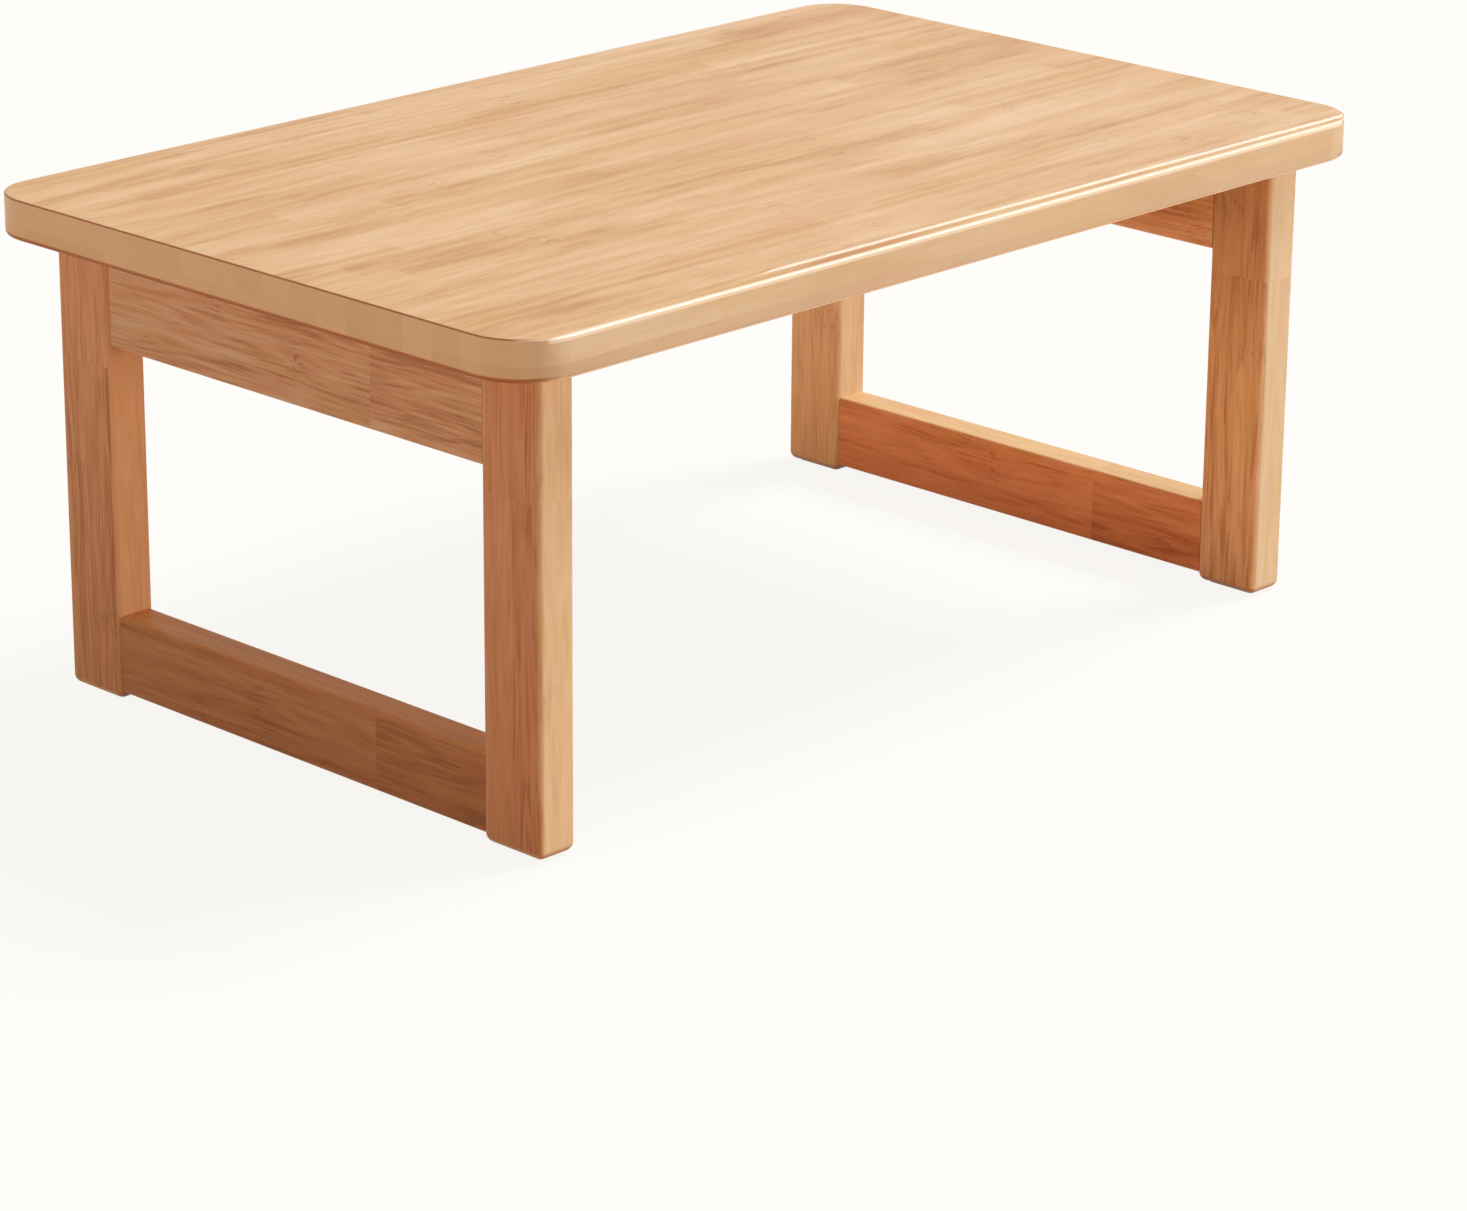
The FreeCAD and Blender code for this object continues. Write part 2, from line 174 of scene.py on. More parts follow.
def laminatedBamboo(name, look):
    material, tree = newMaterial(name)
    place = addNode(tree, "TexCoord")
    facing = addNode(tree, "SeparateXYZ", {0: place.outputs["Normal"]})
    sized = addNode(tree, "VectorMath", {0: place.outputs["Object"], "Scale": 1 / millimetre},
                    operation="SCALE")
    spot = addNode(tree, "SeparateXYZ", {0: sized})
    grainAxis, widthAxis, depthAxis = look["axes"]

    def stretched(vector, length, width):
        shares = [1 / (length if axis == grainAxis else width) for axis in "XYZ"]
        return addNode(tree, "VectorMath", {0: vector, 1: shares}, operation="MULTIPLY")

    # which stave, layer and block this point lies in
    counts = []
    for axis, size, start in ((widthAxis, look["staveWidth"], 0.0),
                              (depthAxis, look["staveDepth"], look["depthStart"])):
        steps = addNode(tree, "Math", {0: spot.outputs[axis], 1: 1 / size, 2: -start / size},
                        operation="MULTIPLY_ADD")
        counts.append(addNode(tree, "Math", {0: steps}, operation="FLOOR"))
    row = addNode(tree, "CombineXYZ", {0: counts[0], 1: counts[1], 2: look["seed"]})
    rowChance = addNode(tree, "TexWhiteNoise", {"Vector": row}, noise_dimensions="3D")
    level = addNode(tree, "Math", {
        0: spot.outputs[grainAxis], 1: 1 / look["blockLength"],
        2: -look["blockStart"] / look["blockLength"]}, operation="MULTIPLY_ADD")
    along = addNode(tree, "Math", {0: rowChance.outputs["Value"], 1: look["stagger"], 2: level},
                    operation="MULTIPLY_ADD")
    blockCount = addNode(tree, "Math", {0: along}, operation="FLOOR")
    block = addNode(tree, "CombineXYZ", {0: counts[0], 1: counts[1], 2: blockCount})
    chance = addNode(tree, "TexWhiteNoise", {"Vector": block, "W": look["seed"]},
                     noise_dimensions="4D")
    chances = addNode(tree, "SeparateColor", {0: chance.outputs["Color"]})

    # the grain wanders sideways, and in a post or rail it starts afresh in each block
    drift = addNode(tree, "TexNoise", {"Vector": stretched(sized, *look["driftSize"]),
                                       "Scale": 1.0, "Detail": look["detail"]["drift"]})
    sway = [0.0 if axis == grainAxis else look["drift"] for axis in "XYZ"]
    wandering = addNode(tree, "VectorMath", {0: drift.outputs["Color"], 1: sway, 2: sized},
                        operation="MULTIPLY_ADD")
    afresh = addNode(tree, "VectorMath", {
        0: chance.outputs["Color"], 1: [look["restart"]] * 3, 2: wandering}, operation="MULTIPLY_ADD")

    # streaks of three sizes, slow changes of hue, and growth lines nested round each other
    patterns = {"block": chances.outputs["Red"]}
    for kind in ("broad", "streak", "fibre", "hue", "rings"):
        patterns[kind] = addNode(tree, "TexNoise", {
            "Vector": stretched(afresh, *look[kind]), "Scale": 1.0,
            "Detail": look["detail"][kind], "Roughness": look["raggedness"]})
    halfRing = 0.5
    spread = addNode(tree, "Math", {0: patterns["rings"], 1: look["ringCount"]}, operation="MULTIPLY")
    nested = addNode(tree, "Math", {0: spread, 1: halfRing}, operation="PINGPONG")
    patterns["rings"] = addNode(tree, "Math", {0: nested, 1: 1 / halfRing}, operation="MULTIPLY")

    # the broad faces show the figure fully, the edges of the staves show less of it
    darkAt, middleAt, paleAt = look["toneStops"]
    sideways = addNode(tree, "Math", {0: facing.outputs[depthAxis]}, operation="ABSOLUTE")
    calm = addNode(tree, "MapRange", {
        "Value": sideways, "To Min": 1.0 - look["edgeCalm"], "To Max": 1.0})
    tone = -sum(look["contrast"].values()) / 2  # the patterns average a half
    for kind, contrast in look["contrast"].items():
        tone = addNode(tree, "Math", {0: patterns[kind], 1: contrast, 2: tone},
                       operation="MULTIPLY_ADD")
    tone = addNode(tree, "Math", {0: tone, 1: calm, 2: middleAt}, operation="MULTIPLY_ADD")
    wood = addNode(tree, "ValToRGB", {"Fac": tone}, stops=[
        (darkAt, look["dark"]), (paleAt, look["pale"]), (middleAt, look["middle"])])
    for tint in ("rose", "honey"):
        low, high = look[tint + "Limits"]
        share = addNode(tree, "MapRange", {"Value": patterns["hue"], "From Min": low,
                                           "From Max": high, "To Max": look["hueShare"]})
        wood = addNode(tree, "Mix", {"Factor": share, "A": wood, "B": linear(look[tint])},
                       data_type="RGBA")

    # thin dark lines along the grain
    low, high = look["fleckLimits"]
    fleck = addNode(tree, "TexNoise", {"Vector": stretched(afresh, *look["fleckSize"]),
                                       "Scale": 1.0, "Detail": look["detail"]["fleck"]})
    flecked = addNode(tree, "MapRange", {"Value": fleck, "From Min": low, "From Max": high,
                                         "To Max": look["fleckShare"]})

    # in some blocks the mottled place where a knuckle was planed off
    first, last = look["knucklePlaces"]
    fraction = addNode(tree, "Math", {0: along}, operation="FRACT")
    knuckleAt = addNode(tree, "MapRange", {
        "Value": chances.outputs["Blue"], "To Min": first, "To Max": last})
    away = addNode(tree, "Math", {0: fraction, 1: knuckleAt}, operation="SUBTRACT")
    near = addNode(tree, "Math", {0: away}, operation="ABSOLUTE")
    zone = addNode(tree, "MapRange", {
        "Value": near, "From Max": look["knuckleReach"] / look["blockLength"],
        "To Min": 1.0, "To Max": 0.0}, interpolation_type="SMOOTHSTEP")
    low, high = look["mottleLimits"]
    mottle = addNode(tree, "TexNoise", {"Vector": stretched(afresh, *look["mottle"]),
                                        "Scale": 1.0, "Detail": look["detail"]["mottle"]})
    mottled = addNode(tree, "MapRange", {"Value": mottle, "From Min": low, "From Max": high,
                                         "To Max": look["knuckleShare"]})
    chosen = addNode(tree, "Math", {0: chances.outputs["Green"], 1: look["knuckleRarity"]},
                     operation="GREATER_THAN")
    knuckle = addNode(tree, "Math", {0: mottled, 1: chosen}, operation="MULTIPLY")
    knuckle = addNode(tree, "Math", {0: knuckle, 1: zone}, operation="MULTIPLY")
    marked = addNode(tree, "Math", {0: flecked, 1: knuckle}, operation="MAXIMUM")
    marked = addNode(tree, "Math", {0: marked, 1: calm}, operation="MULTIPLY")
    wood = addNode(tree, "Mix", {"Factor": marked, "A": wood, "B": linear(look["fleck"])},
                   data_type="RGBA")

    # painted light and shade: the broad faces have their own tints, one towards the middle of the table
    # and one away from it, standing in for how light falls on each side
    outward = addNode(tree, "Math", {0: facing.outputs[depthAxis], 1: spot.outputs[depthAxis]},
                      operation="MULTIPLY")
    outside = addNode(tree, "Math", {0: outward, 1: 0.0}, operation="GREATER_THAN")
    tint = addNode(tree, "Mix", {"Factor": outside, "A": linear(look["innerLightTint"]),
                                 "B": linear(look["outerLightTint"])}, data_type="RGBA")
    wood = addNode(tree, "Mix", {"Factor": sideways, "A": wood, "B": tint},
                   data_type="RGBA", blend_type="MULTIPLY")
    # painted shade: the legs go a little darker towards the floor
    if look["paintedFootShade"]:
        low = addNode(tree, "MapRange", {"Value": spot.outputs["Z"], "From Max": look["footHeight"],
                                         "To Min": 1.0, "To Max": 0.0})
        footShadeShare = addNode(tree, "Math", {0: low, 1: sideways}, operation="MULTIPLY")
        wood = addNode(tree, "Mix", {"Factor": footShadeShare, "A": wood, "B": linear(look["paintedFootShade"])},
                       data_type="RGBA", blend_type="MULTIPLY")

    # the ends show plain end grain, stave by stave
    low, high = look["endLimits"]
    endways = addNode(tree, "Math", {0: facing.outputs[grainAxis]}, operation="ABSOLUTE")
    endShare = addNode(tree, "MapRange", {"Value": endways, "From Min": low, "From Max": high,
                                          "To Max": look["endStrength"]})
    endTone = addNode(tree, "Math", {0: rowChance.outputs["Value"], 1: patterns["broad"]},
                      operation="MULTIPLY")
    endWood = addNode(tree, "Mix", {"Factor": endTone, "A": linear(look["end"]),
                                    "B": linear(look["endShade"])}, data_type="RGBA")
    wood = addNode(tree, "Mix", {"Factor": endShare, "A": wood, "B": endWood}, data_type="RGBA")

    # along the top arris the end grain drinks sealer and goes dark; the same dark colour on the lower
    # arris is painted shade, and the pale band on the long edges is a painted highlight
    full, gone = look["arrisSpread"]
    steep = addNode(tree, "Math", {0: facing.outputs["Z"]}, operation="ABSOLUTE")
    slope = addNode(tree, "Math", {0: steep, 1: look["arrisSlope"]}, operation="SUBTRACT")
    slopeAway = addNode(tree, "Math", {0: slope}, operation="ABSOLUTE")
    onArris = addNode(tree, "MapRange", {"Value": slopeAway, "From Min": full, "From Max": gone,
                                         "To Min": 1.0, "To Max": 0.0})
    sidelong = addNode(tree, "Math", {0: facing.outputs[widthAxis]}, operation="ABSOLUTE")
    for direction, tint in ((endways, "endArris"), (sidelong, "arrisHighlight")):
        if look[tint + "Strength"]:
            low, high = look[tint + "Limits"]
            towards = addNode(tree, "MapRange", {"Value": direction, "From Min": low,
                                                 "From Max": high, "To Max": look[tint + "Strength"]})
            share = addNode(tree, "Math", {0: onArris, 1: towards}, operation="MULTIPLY")
            wood = addNode(tree, "Mix", {"Factor": share, "A": wood, "B": linear(look[tint])},
                           data_type="RGBA")
    # painted shade: a dark band at the foot of the end grain
    if look["paintedLowShade"]:
        lowest, full, gone = look["paintedLowShade"]
        height = addNode(tree, "Math", {0: spot.outputs["Z"], 1: lowest}, operation="SUBTRACT")
        lowShadeShare = addNode(tree, "MapRange", {"Value": height, "From Min": full, "From Max": gone,
                                            "To Min": look["endArrisStrength"], "To Max": 0.0})
        share = addNode(tree, "Math", {0: lowShadeShare, 1: endShare}, operation="MULTIPLY")
        wood = addNode(tree, "Mix", {"Factor": share, "A": wood, "B": linear(look["endArris"])},
                       data_type="RGBA")
    # the painted highlight band reaches a little way over both faces of the long edges
    if look["arrisHighlightStrength"]:
        sidePlace, topPlace = look["arrisPlace"]
        full, gone = look["arrisBand"]
        outmost = addNode(tree, "Math", {0: spot.outputs["Y"]}, operation="ABSOLUTE")
        fromSide = addNode(tree, "Math", {0: sidePlace, 1: outmost}, operation="SUBTRACT")
        fromTop = addNode(tree, "Math", {0: topPlace, 1: spot.outputs["Z"]}, operation="SUBTRACT")
        fromArris = addNode(tree, "Math", {0: fromSide, 1: fromTop}, operation="MAXIMUM")
        highlightBand = addNode(tree, "MapRange", {"Value": fromArris, "From Min": full, "From Max": gone,
                                            "To Min": look["arrisHighlightStrength"], "To Max": 0.0})
        wood = addNode(tree, "Mix", {"Factor": highlightBand, "A": wood, "B": linear(look["arrisHighlight"])},
                       data_type="RGBA")

    smooth, dull = look["roughness"]
    rough = addNode(tree, "MapRange", {"Value": patterns["streak"], "To Min": smooth, "To Max": dull})
    bump = addNode(tree, "Bump", {"Height": patterns["fibre"], "Strength": look["bumpStrength"],
                                  "Distance": look["bumpDepth"] * millimetre})
    shader = addNode(tree, "BsdfPrincipled", {
        "Base Color": wood, "Roughness": rough, "Normal": bump, "IOR": look["ior"],
        "Specular IOR Level": look["specular"], "Coat Weight": look["coat"],
        "Coat Roughness": look["coatRoughness"], "Coat IOR": look["ior"]})
    addNode(tree, "OutputMaterial", {"Surface": shader})
    return material


topWood = laminatedBamboo("lacqueredBambooTop", bambooTop)
stripWood = laminatedBamboo("lacqueredBambooStrip", bambooStrip)
# by the ending of a node's name, and the first one that fits is taken
frameWoods = {
    "left_rear_post": laminatedBamboo("lacqueredBambooLeftRearPost", bambooLeftRearPost),
    "right_front_post": laminatedBamboo("lacqueredBambooRightFrontPost", bambooRightFrontPost),
    "right_rear_post": laminatedBamboo("lacqueredBambooRightRearPost", bambooRightRearPost),
    "left_lower_rail": laminatedBamboo("lacqueredBambooLeftLowerRail", bambooLeftLowerRail),
    "post": laminatedBamboo("lacqueredBambooPost", bambooPost),
    "right_upper_rail": laminatedBamboo("lacqueredBambooRightUpperRail", bambooRightUpperRail),
    "upper_rail": laminatedBamboo("lacqueredBambooUpperRail", bambooUpperRail),
    "lower_rail": laminatedBamboo("lacqueredBambooLowerRail", bambooLowerRail),
}

# Zinc-plated sheet steel: bright bluish grey, faintly cloudy, with rolling lines that are drawn
# coarser than life so that they show. Sizes in millimetres.
zincPlate = {
    "base": "#C3C7CA", "shade": "#A3A8AD", "cloud": 6.0, "cloudDetail": 4.0,
    "lines": (14.0, 0.35), "lineDetail": 1.0, "lineWear": 0.35, "wearLimits": (0.3, 1.0),
    "roughness": (0.26, 0.42), "bumpStrength": 0.08, "bumpDepth": 0.05,
}
bluedSpring = dict(zincPlate, base="#444B56", shade="#2E3239")  # slate blue oxide, as on a clock spring
turnedPin = dict(zincPlate, base="#B3B1AC", shade="#95938E")  # bare steel, a warmer grey than the plate
yellowZinc = dict(zincPlate, base="#D0B574", shade="#AE9258")  # passivated zinc, a pale dull gold


def platedSteel(name, look):
    material, tree = newMaterial(name)
    place = addNode(tree, "TexCoord")
    cloud = addNode(tree, "TexNoise", {
        "Vector": place.outputs["Object"], "Detail": look["cloudDetail"],
        "Scale": 1 / (look["cloud"] * millimetre)})
    lineLength, lineWidth = look["lines"]
    shares = [1 / (size * millimetre) for size in (lineWidth, lineLength, lineWidth)]
    drawn = addNode(tree, "VectorMath", {0: place.outputs["Object"], 1: shares}, operation="MULTIPLY")
    lines = addNode(tree, "TexNoise", {"Vector": drawn, "Scale": 1.0, "Detail": look["lineDetail"]})
    colour = addNode(tree, "Mix", {"Factor": cloud, "A": linear(look["base"]),
                                   "B": linear(look["shade"])}, data_type="RGBA")
    worn = addNode(tree, "Math", {0: lines, 1: look["lineWear"], 2: cloud}, operation="MULTIPLY_ADD")
    low, high = look["wearLimits"]
    smooth, dull = look["roughness"]
    rough = addNode(tree, "MapRange", {"Value": worn, "From Min": low, "From Max": high,
                                       "To Min": smooth, "To Max": dull})
    bump = addNode(tree, "Bump", {"Height": lines, "Strength": look["bumpStrength"],
                                  "Distance": look["bumpDepth"] * millimetre})
    shader = addNode(tree, "BsdfPrincipled", {"Base Color": colour, "Metallic": 1.0,
                                              "Roughness": rough, "Normal": bump})
    addNode(tree, "OutputMaterial", {"Surface": shader})
    return material


bracketSteel = platedSteel("zincPlatedSheetSteel", zincPlate)
springSteel = platedSteel("bluedSpringSteel", bluedSpring)
pinSteel = platedSteel("turnedPinSteel", turnedPin)
screwSteel = platedSteel("yellowZincScrewSteel", yellowZinc)


# Pressed wool felt: dark brown and matt, with paler tufts drawn coarser than its fibres so that
# they show. Sizes in millimetres.
woolFelt = {
    "dark": "#3A2A1E", "pale": "#5A4432", "fuzz": 0.9, "fuzzDetail": 4.0, "raggedness": 0.7,
    "roughness": 0.95, "sheen": 0.3, "bumpStrength": 0.6, "bumpDepth": 0.2,
}


def feltMaterial(name, look):
    material, tree = newMaterial(name)
    place = addNode(tree, "TexCoord")
    fuzz = addNode(tree, "TexNoise", {
        "Vector": place.outputs["Object"], "Detail": look["fuzzDetail"],
        "Roughness": look["raggedness"], "Scale": 1 / (look["fuzz"] * millimetre)})
    colour = addNode(tree, "Mix", {"Factor": fuzz, "A": linear(look["dark"]),
                                   "B": linear(look["pale"])}, data_type="RGBA")
    bump = addNode(tree, "Bump", {"Height": fuzz, "Strength": look["bumpStrength"],
                                  "Distance": look["bumpDepth"] * millimetre})
    shader = addNode(tree, "BsdfPrincipled", {"Base Color": colour, "Roughness": look["roughness"],
                                              "Normal": bump, "Sheen Weight": look["sheen"]})
    addNode(tree, "OutputMaterial", {"Surface": shader})
    return material


felt = feltMaterial("pressedWoolFelt", woolFelt)

finishes = {
    "bamboo_panel": topWood, "bamboo_edge": stripWood, "felt": felt, "bracket_steel": bracketSteel,
    "pin_steel": pinSteel, "spring_steel": springSteel, "screw_steel": screwSteel,
}
for name, node in nodes.items():
    slotName = node.data.materials[0].name
    if slotName == "bamboo_frame":
        finish = next(wood for ending, wood in frameWoods.items() if name.endswith(ending))
    else:
        finish = finishes[slotName]
    dress(node, finish)
print("materials set")

# How much of an axis a unit vector has when it runs along it, across it or squarely along it
runsAlong = 0.9
runsAcross = 0.1
facesSquarely = 0.999
tinyGap = 0.001 * millimetre


def pick(piece, kind, test):
    # in edit mode, selects only the verts, edges or faces that pass the test
    bpy.ops.mesh.select_mode(type={"verts": "VERT", "edges": "EDGE", "faces": "FACE"}[kind])
    bpy.ops.mesh.select_all(action="DESELECT")
    mesh = bmesh.from_edit_mesh(piece.data)
    for item in getattr(mesh, kind):
        item.select_set(bool(test(item)))
    mesh.select_flush_mode()
    bmesh.update_edit_mesh(piece.data)


def edgeTurn(edge):
    # the way an edge runs, as a unit vector
    return (edge.verts[1].co - edge.verts[0].co).normalized()


# Felt pads under the posts: die cut, corners rounded, rims softened by the weight on them
padShape = {
    "model": "left_front_foot_pad", "cornerRound": 2.0 * millimetre, "cornerSteps": 6,
    "rim": 0.3 * millimetre, "rimSteps": 3, "inset": 1.2 * millimetre, "smoothAngle": 40.0,
}


def modelPad():
    low, high = [Vector(corner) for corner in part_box(padShape["model"])]
    bpy.ops.object.select_all(action="DESELECT")
    bpy.ops.mesh.primitive_cube_add(size=1.0, location=(low + high) / 2, scale=high - low)
    bpy.ops.object.transform_apply(location=True, rotation=True, scale=True)
    pad = bpy.context.object
    bpy.ops.object.mode_set(mode="EDIT")
    pick(pad, "edges", lambda e: abs(edgeTurn(e).z) > runsAlong)
    bpy.ops.mesh.bevel(offset=padShape["cornerRound"], segments=padShape["cornerSteps"], affect="EDGES")
    pick(pad, "edges", lambda e: abs(edgeTurn(e).z) < runsAcross)
    bpy.ops.mesh.bevel(offset=padShape["rim"], segments=padShape["rimSteps"], affect="EDGES")
    pick(pad, "faces", lambda f: abs(f.normal.z) > facesSquarely)
    bpy.ops.mesh.inset(thickness=padShape["inset"])
    bpy.ops.object.mode_set(mode="OBJECT")
    bpy.ops.object.shade_smooth_by_angle(angle=math.radians(padShape["smoothAngle"]))
    return pad


padModel = modelPad()
padStart = Vector(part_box(padShape["model"])[0])
for side in ("left", "right"):
    for end in ("front", "rear"):
        nodeName = f"{side}_{end}_foot_pad"
        pad = padModel.copy()
        pad.data = padModel.data.copy()
        pad.name = f"{side}_{end}_felt_pad"
        bpy.context.collection.objects.link(pad)
        pad.data.transform(Matrix.Translation(Vector(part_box(nodeName)[0]) - padStart))
        dress(pad, felt)
        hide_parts(nodeName)
        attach(pad, side + "_frame")
bpy.data.objects.remove(padModel)
print("felt pads modelled")

# Countersunk wood screws with a cross recess and a rolled thread, modelled along +Z from the head.
# The ridge of the thread has its foot just inside the core, and its crest and width are shares of
# the pitch; spin is the turn in radians from one screw to the next.
screwShape = {
    "headRadius": 3.8 * millimetre, "shankRadius": 2.0 * millimetre, "coreRadius": 1.45 * millimetre,
    "point": 3.0 * millimetre, "tipShare": 0.1, "rim": 0.12 * millimetre, "rimSteps": 2, "sides": 24,
    "recessSpan": 4.2 * millimetre, "recessWidth": 0.9 * millimetre,
    "recessDepth": 1.3 * millimetre, "recessTaper": 0.45,
    "pitch": 1.4 * millimetre, "ridgeFoot": 0.97, "ridgeCrest": 0.35, "ridgeWidth": 0.5,
    "ridgeSteps": 16, "spin": 0.7, "smoothAngle": 35.0,
}


def modelRecess():
    width, depth = screwShape["recessWidth"], screwShape["recessDepth"]
    reach, taper = screwShape["recessSpan"] / 2, screwShape["recessTaper"]
    bpy.ops.object.select_all(action="DESELECT")
    bpy.ops.mesh.primitive_cube_add(size=1.0, location=(0, 0, 0), scale=(width, width, 2 * depth))
    bpy.ops.object.transform_apply(location=True, rotation=True, scale=True)
    recess = bpy.context.object
    bpy.ops.object.mode_set(mode="EDIT")
    for way in (Vector((1, 0, 0)), Vector((-1, 0, 0)), Vector((0, 1, 0)), Vector((0, -1, 0))):
        pick(recess, "faces",
             lambda f: f.normal.dot(way) > runsAlong and f.calc_center_median().length < width)
        bpy.ops.mesh.extrude_region_move(TRANSFORM_OT_translate={"value": way * (reach - width / 2)})
    pick(recess, "verts", lambda v: v.co.z > depth / 2)
    bpy.ops.transform.resize(value=(taper, taper, 1.0), center_override=(0, 0, 0))
    bpy.ops.object.mode_set(mode="OBJECT")
    return recess


def modelScrew(length):
    head, shank, core = [screwShape[kind + "Radius"] for kind in ("head", "shank", "core")]
    point = screwShape["point"]
    taper = head - shank
    recess = modelRecess()
    bpy.ops.object.select_all(action="DESELECT")
    bpy.ops.mesh.primitive_circle_add(vertices=screwShape["sides"], radius=head, fill_type="NGON")
    screw = bpy.context.object
    bpy.ops.object.mode_set(mode="EDIT")
    # head cone, smooth neck, its run down to the core, core and point, each from the one before
    runs = ((taper, shank), (shank, shank), (taper, core), (length - 2 * taper - shank - point, core),
            (point, screwShape["tipShare"] * core))
    radius = head
    for run, nextRadius in runs:
        bpy.ops.mesh.extrude_region_move(TRANSFORM_OT_translate={"value": (0, 0, run)})
        share = nextRadius / radius
        bpy.ops.transform.resize(value=(share, share, 1.0), center_override=(0, 0, 0))
        radius = nextRadius
    bpy.ops.mesh.select_all(action="SELECT")
    bpy.ops.mesh.normals_make_consistent(inside=False)
    pick(screw, "edges", lambda e: max(abs(v.co.z) for v in e.verts) < tinyGap)
    bpy.ops.mesh.bevel(offset=screwShape["rim"], segments=screwShape["rimSteps"], affect="EDGES")
    bpy.ops.object.mode_set(mode="OBJECT")
    cut = screw.modifiers.new("recess", "BOOLEAN")
    cut.object = recess
    cut.operation = "DIFFERENCE"
    bpy.ops.object.modifier_apply(modifier=cut.name)
    bpy.data.objects.remove(recess)
    thread = modelThread(2 * taper, length - point)
    bpy.ops.object.select_all(action="DESELECT")
    thread.select_set(True)
    screw.select_set(True)
    bpy.context.view_layer.objects.active = screw
    bpy.ops.object.join()
    bpy.ops.object.shade_smooth_by_angle(angle=math.radians(screwShape["smoothAngle"]))
    return screw


def modelThread(start, stop):
    # a ridge drawn as a triangle and wound up the core
    pitch, crest = screwShape["pitch"], screwShape["shankRadius"]
    foot = screwShape["ridgeFoot"] * screwShape["coreRadius"]
    turns = int((stop - start) / pitch) - 1
    bpy.ops.object.select_all(action="DESELECT")
    bpy.ops.mesh.primitive_circle_add(vertices=3, radius=1.0, rotation=(math.pi / 2, 0, 0))
    thread = bpy.context.object
    bpy.ops.object.transform_apply(location=True, rotation=True, scale=True)
    places = ((foot, start), (crest, start + screwShape["ridgeCrest"] * pitch),
              (foot, start + screwShape["ridgeWidth"] * pitch))
    for vertex, (x, z) in zip(thread.data.vertices, places):
        vertex.co = (x, 0, z)
    wound = thread.modifiers.new("wound", "SCREW")
    wound.axis = "Z"
    wound.screw_offset = pitch
    wound.iterations = turns
    wound.steps = screwShape["ridgeSteps"]
    wound.render_steps = screwShape["ridgeSteps"]
    wound.use_normal_calculate = True
    bpy.ops.object.modifier_apply(modifier=wound.name)
    bpy.ops.object.mode_set(mode="EDIT")
    pick(thread, "edges", lambda e: e.is_boundary)
    bpy.ops.mesh.edge_face_add()
    bpy.ops.mesh.select_all(action="SELECT")
    bpy.ops.mesh.normals_make_consistent(inside=False)
    bpy.ops.object.mode_set(mode="OBJECT")
    return thread


def looseBoxes(nodeName):
    # the box of each separate solid of a CAD node, read from a merged copy
    bpy.ops.object.select_all(action="DESELECT")
    copy = bpy.data.objects.new("looseCopy", nodes[nodeName].data.copy())
    bpy.context.collection.objects.link(copy)
    copy.select_set(True)
    bpy.context.view_layer.objects.active = copy
    bpy.ops.object.mode_set(mode="EDIT")
    bpy.ops.mesh.select_all(action="SELECT")
    bpy.ops.mesh.remove_doubles(threshold=tinyGap)
    bpy.ops.mesh.separate(type="LOOSE")
    bpy.ops.object.mode_set(mode="OBJECT")
    boxes = []
    for part in list(bpy.context.selected_objects):
        corners = [Vector(corner) for corner in part.bound_box]
        boxes.append((corners[0], corners[6]))  # the lowest and the highest of the eight
        bpy.data.objects.remove(part)
    # in order of place, to a hundredth of a millimetre
    return sorted(boxes, key=lambda box: tuple(round(c, 5) for c in box[0]))


def placeScrews(nodeName, pieceName, body, way):
    # way is the direction that the screws are driven in
    boxes = looseBoxes(nodeName)
    length = max(boxes[0][1] - boxes[0][0])
    model = modelScrew(length)
    turn = Vector((0, 0, 1)).rotation_difference(way).to_matrix().to_4x4()
    bpy.ops.object.select_all(action="DESELECT")
    for number, (low, high) in enumerate(boxes):
        start = (low + high) / 2 - way * length / 2
        spin = Matrix.Rotation(screwShape["spin"] * number, 4, "Z")  # no two stop at the same turn
        screw = model.copy()
        screw.data = model.data.copy()
        screw.data.transform(Matrix.Translation(start) @ turn @ spin)
        bpy.context.collection.objects.link(screw)
        screw.select_set(True)
        bpy.context.view_layer.objects.active = screw
    bpy.ops.object.join()
    bpy.data.objects.remove(model)
    piece = bpy.context.object
    piece.name = pieceName
    dress(piece, screwSteel)
    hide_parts(nodeName)
    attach(piece, body)


for side, inward in (("left", Vector((1, 0, 0))), ("right", Vector((-1, 0, 0)))):
    placeScrews(side + "_top_bracket_screws", side + "_top_screws", "top", Vector((0, 0, 1)))
    placeScrews(side + "_leg_bracket_screws", side + "_leg_screws", side + "_frame", -inward)
print("screws modelled")

# Matt pale studio paint: seen as almost white, with a warm bounce that it gives back to the table
floorLook = {
    "colour": "#FDFCF8", "bounce": "#CFA27A", "glow": 0.92,
    "size": 30.0, "height": -0.3 * millimetre, "ambient": 0.28, "ambientColour": "#FFFFFF",
}
bpy.ops.object.select_all(action="DESELECT")
bpy.ops.mesh.primitive_plane_add(size=floorLook["size"], location=(0, 0, floorLook["height"]))
floor = bpy.context.object
floor.name = "studioFloor"


def seenDirectly(tree):
    # 1 where the camera, a mirror or a glass looks, and 0 for the light that falls on the table
    path = addNode(tree, "LightPath")
    seen = addNode(tree, "Math", {0: path.outputs["Is Camera Ray"], 1: path.outputs["Is Glossy Ray"]},
                   operation="MAXIMUM")
    return addNode(tree, "Math", {0: seen, 1: path.outputs["Is Transmission Ray"]}, operation="MAXIMUM")


material, tree = newMaterial("paleStudioFloor")
direct = seenDirectly(tree)
paint = addNode(tree, "Mix", {"Factor": direct, "A": linear(floorLook["bounce"]),
                              "B": linear(floorLook["colour"])}, data_type="RGBA")
matt = addNode(tree, "BsdfDiffuse", {"Color": paint})
glow = addNode(tree, "Emission", {"Color": linear(floorLook["colour"]), "Strength": 1.0})
share = addNode(tree, "Math", {0: direct, 1: floorLook["glow"]}, operation="MULTIPLY")
mixed = addNode(tree, "MixShader", {0: share, 1: matt, 2: glow})
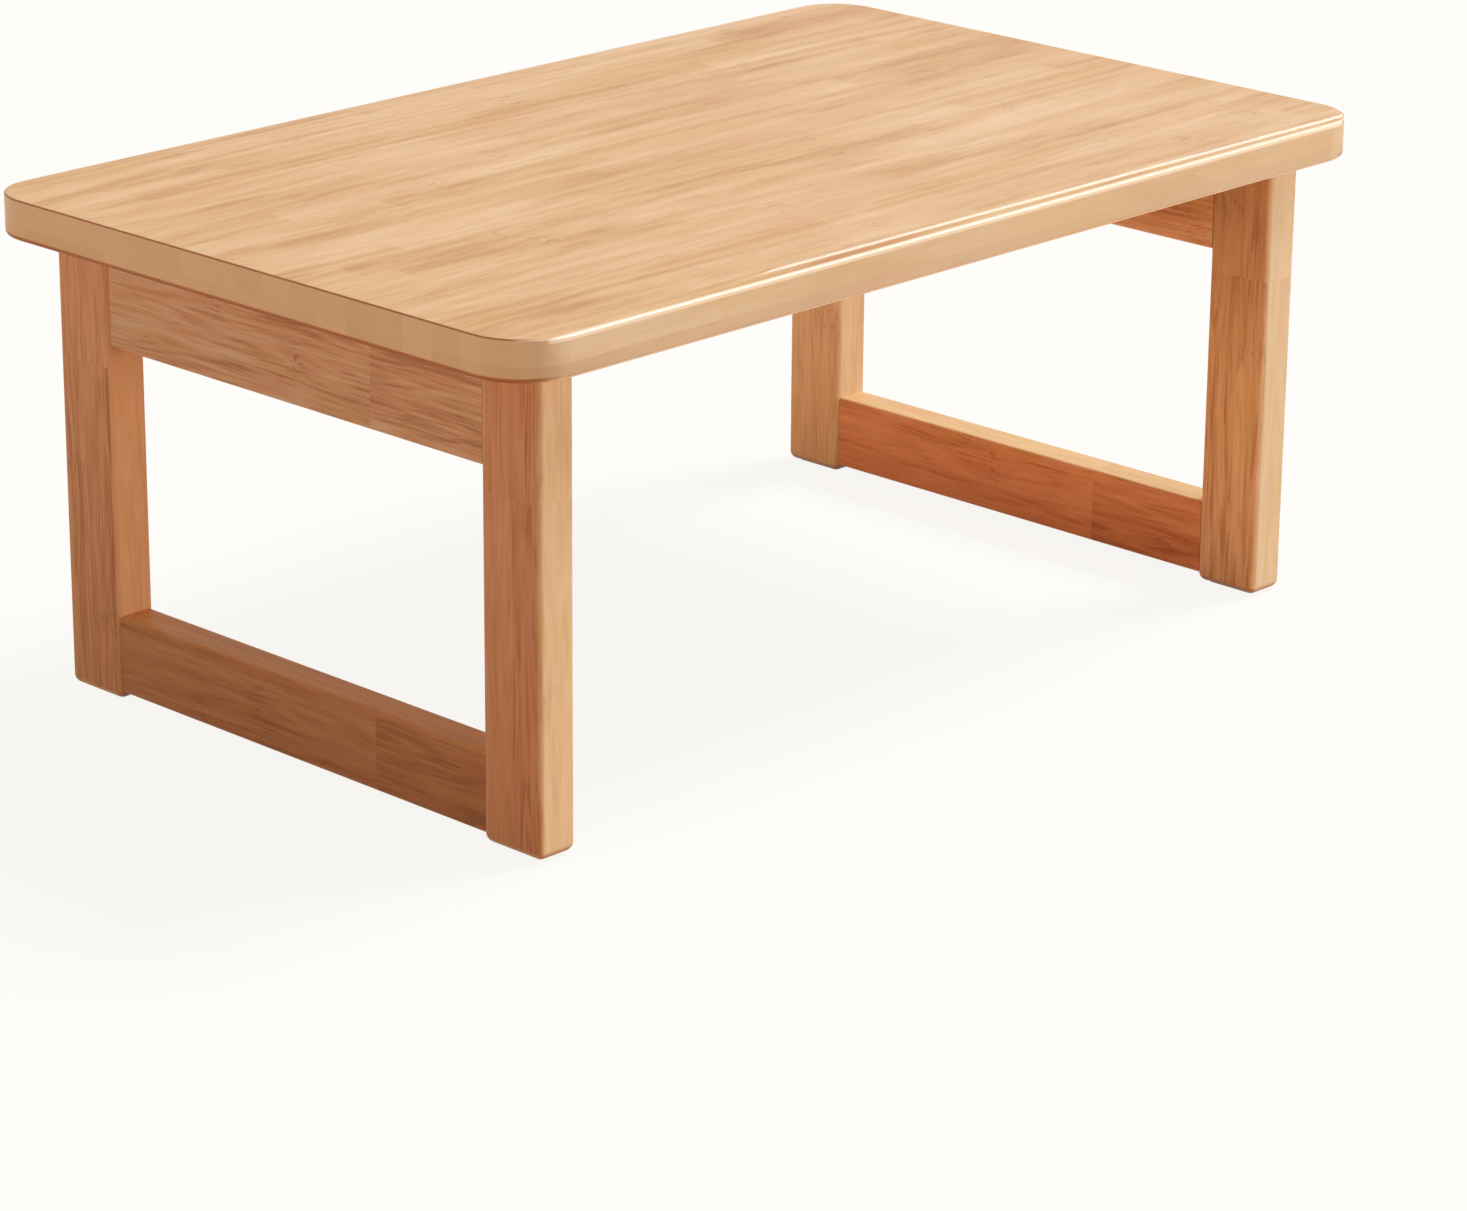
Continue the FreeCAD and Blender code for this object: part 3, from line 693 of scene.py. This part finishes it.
# from below the floor is clear, so that the underside can be looked at
back = addNode(tree, "NewGeometry")
path = addNode(tree, "LightPath")
below = addNode(tree, "Math", {0: back.outputs["Backfacing"], 1: path.outputs["Is Camera Ray"]},
                operation="MULTIPLY")
clear = addNode(tree, "BsdfTransparent")
mixed = addNode(tree, "MixShader", {0: below, 1: mixed, 2: clear})
addNode(tree, "OutputMaterial", {"Surface": mixed})
dress(floor, material)

world = bpy.data.worlds.new("studio")
bpy.context.scene.world = world
world.use_nodes = True
world.node_tree.nodes.clear()
tree = world.node_tree
ambient = addNode(tree, "Background", {"Color": linear(floorLook["ambientColour"]),
                                       "Strength": floorLook["ambient"]})
backdrop = addNode(tree, "Background", {"Color": linear(floorLook["colour"]), "Strength": 1.0})
mixed = addNode(tree, "MixShader", {0: seenDirectly(tree), 1: ambient, 2: backdrop})
addNode(tree, "OutputWorld", {"Surface": mixed})

# Softboxes stand far enough away to light both ends alike, and the strip draws the line along the
# eased edge. Places and sizes in metres, angles in degrees.
lamps = {
    "keySun": {"kind": "SUN", "from": (0.63, -0.13, 0.77), "strength": 3.1, "angle": 22.0},
    "frontFill": {"kind": "AREA", "at": (2.0, -4.6, 0.9), "size": (3.0, 1.5), "watts": 118.0,
                  "colour": "#F8FAFF", "mirrored": False},
    "sideFill": {"kind": "AREA", "at": (-5.0, 0.5, 0.45), "size": (3.0, 0.8), "watts": 111.0,
                 "colour": "#FFE8D1", "mirrored": False},
    "edgeStrip": {"kind": "AREA", "at": (4.02, 2.97, 1.87), "size": (1.05, 0.15), "watts": 4.0,
                  "roll": 13.4},
}
aim = Vector((0, 0, 0.3))
for name, lamp in lamps.items():
    light = bpy.data.lights.new(name, lamp["kind"])
    light.color = linear(lamp.get("colour", "#FFFFFF"))[:3]
    holder = bpy.data.objects.new(name, light)
    holder.visible_glossy = lamp.get("mirrored", True)  # a fill casts no glare on the lacquer
    if lamp["kind"] == "SUN":
        light.energy = lamp["strength"]
        light.angle = math.radians(lamp["angle"])
        holder.rotation_euler = Vector(lamp["from"]).to_track_quat("Z", "Y").to_euler()
    else:
        light.shape = "RECTANGLE"
        light.size, light.size_y = lamp["size"]
        light.energy = lamp["watts"]
        holder.location = lamp["at"]
        towards = (aim - holder.location).to_track_quat("-Z", "Y")
        roll = Quaternion((0, 0, 1), math.radians(lamp.get("roll", 0.0)))
        holder.rotation_euler = (towards @ roll).to_euler()
    bpy.context.scene.collection.objects.link(holder)

# The camera stands where the photo was taken from: place in metres, turns in radians, focal length
# in pixels of the image
view = {
    "at": (-2.28910, -2.22997, 1.15223), "yaw": 0.76385, "pitch": -0.34018, "roll": 0.00829,
    "focal": 4973.52, "imageWidth": 1467, "sensor": 36.0,
}
forward = Vector((math.cos(view["yaw"]) * math.cos(view["pitch"]),
                  math.sin(view["yaw"]) * math.cos(view["pitch"]), math.sin(view["pitch"])))
level = Vector((math.sin(view["yaw"]), -math.cos(view["yaw"]), 0))
upward = level.cross(forward)
sideAxis = level * math.cos(view["roll"]) + upward * math.sin(view["roll"])
upAxis = upward * math.cos(view["roll"]) - level * math.sin(view["roll"])
turned = Matrix((sideAxis, upAxis, -forward)).transposed().to_4x4()
camera = bpy.data.objects.new("photoCamera", bpy.data.cameras.new("photoCamera"))
camera.data.sensor_width = view["sensor"]
camera.data.lens = view["focal"] / view["imageWidth"] * view["sensor"]
camera.matrix_world = Matrix.Translation(view["at"]) @ turned
bpy.context.scene.collection.objects.link(camera)
bpy.context.scene.camera = camera
bpy.context.scene.view_settings.view_transform = "Standard"
print("floor, lamps and camera set")
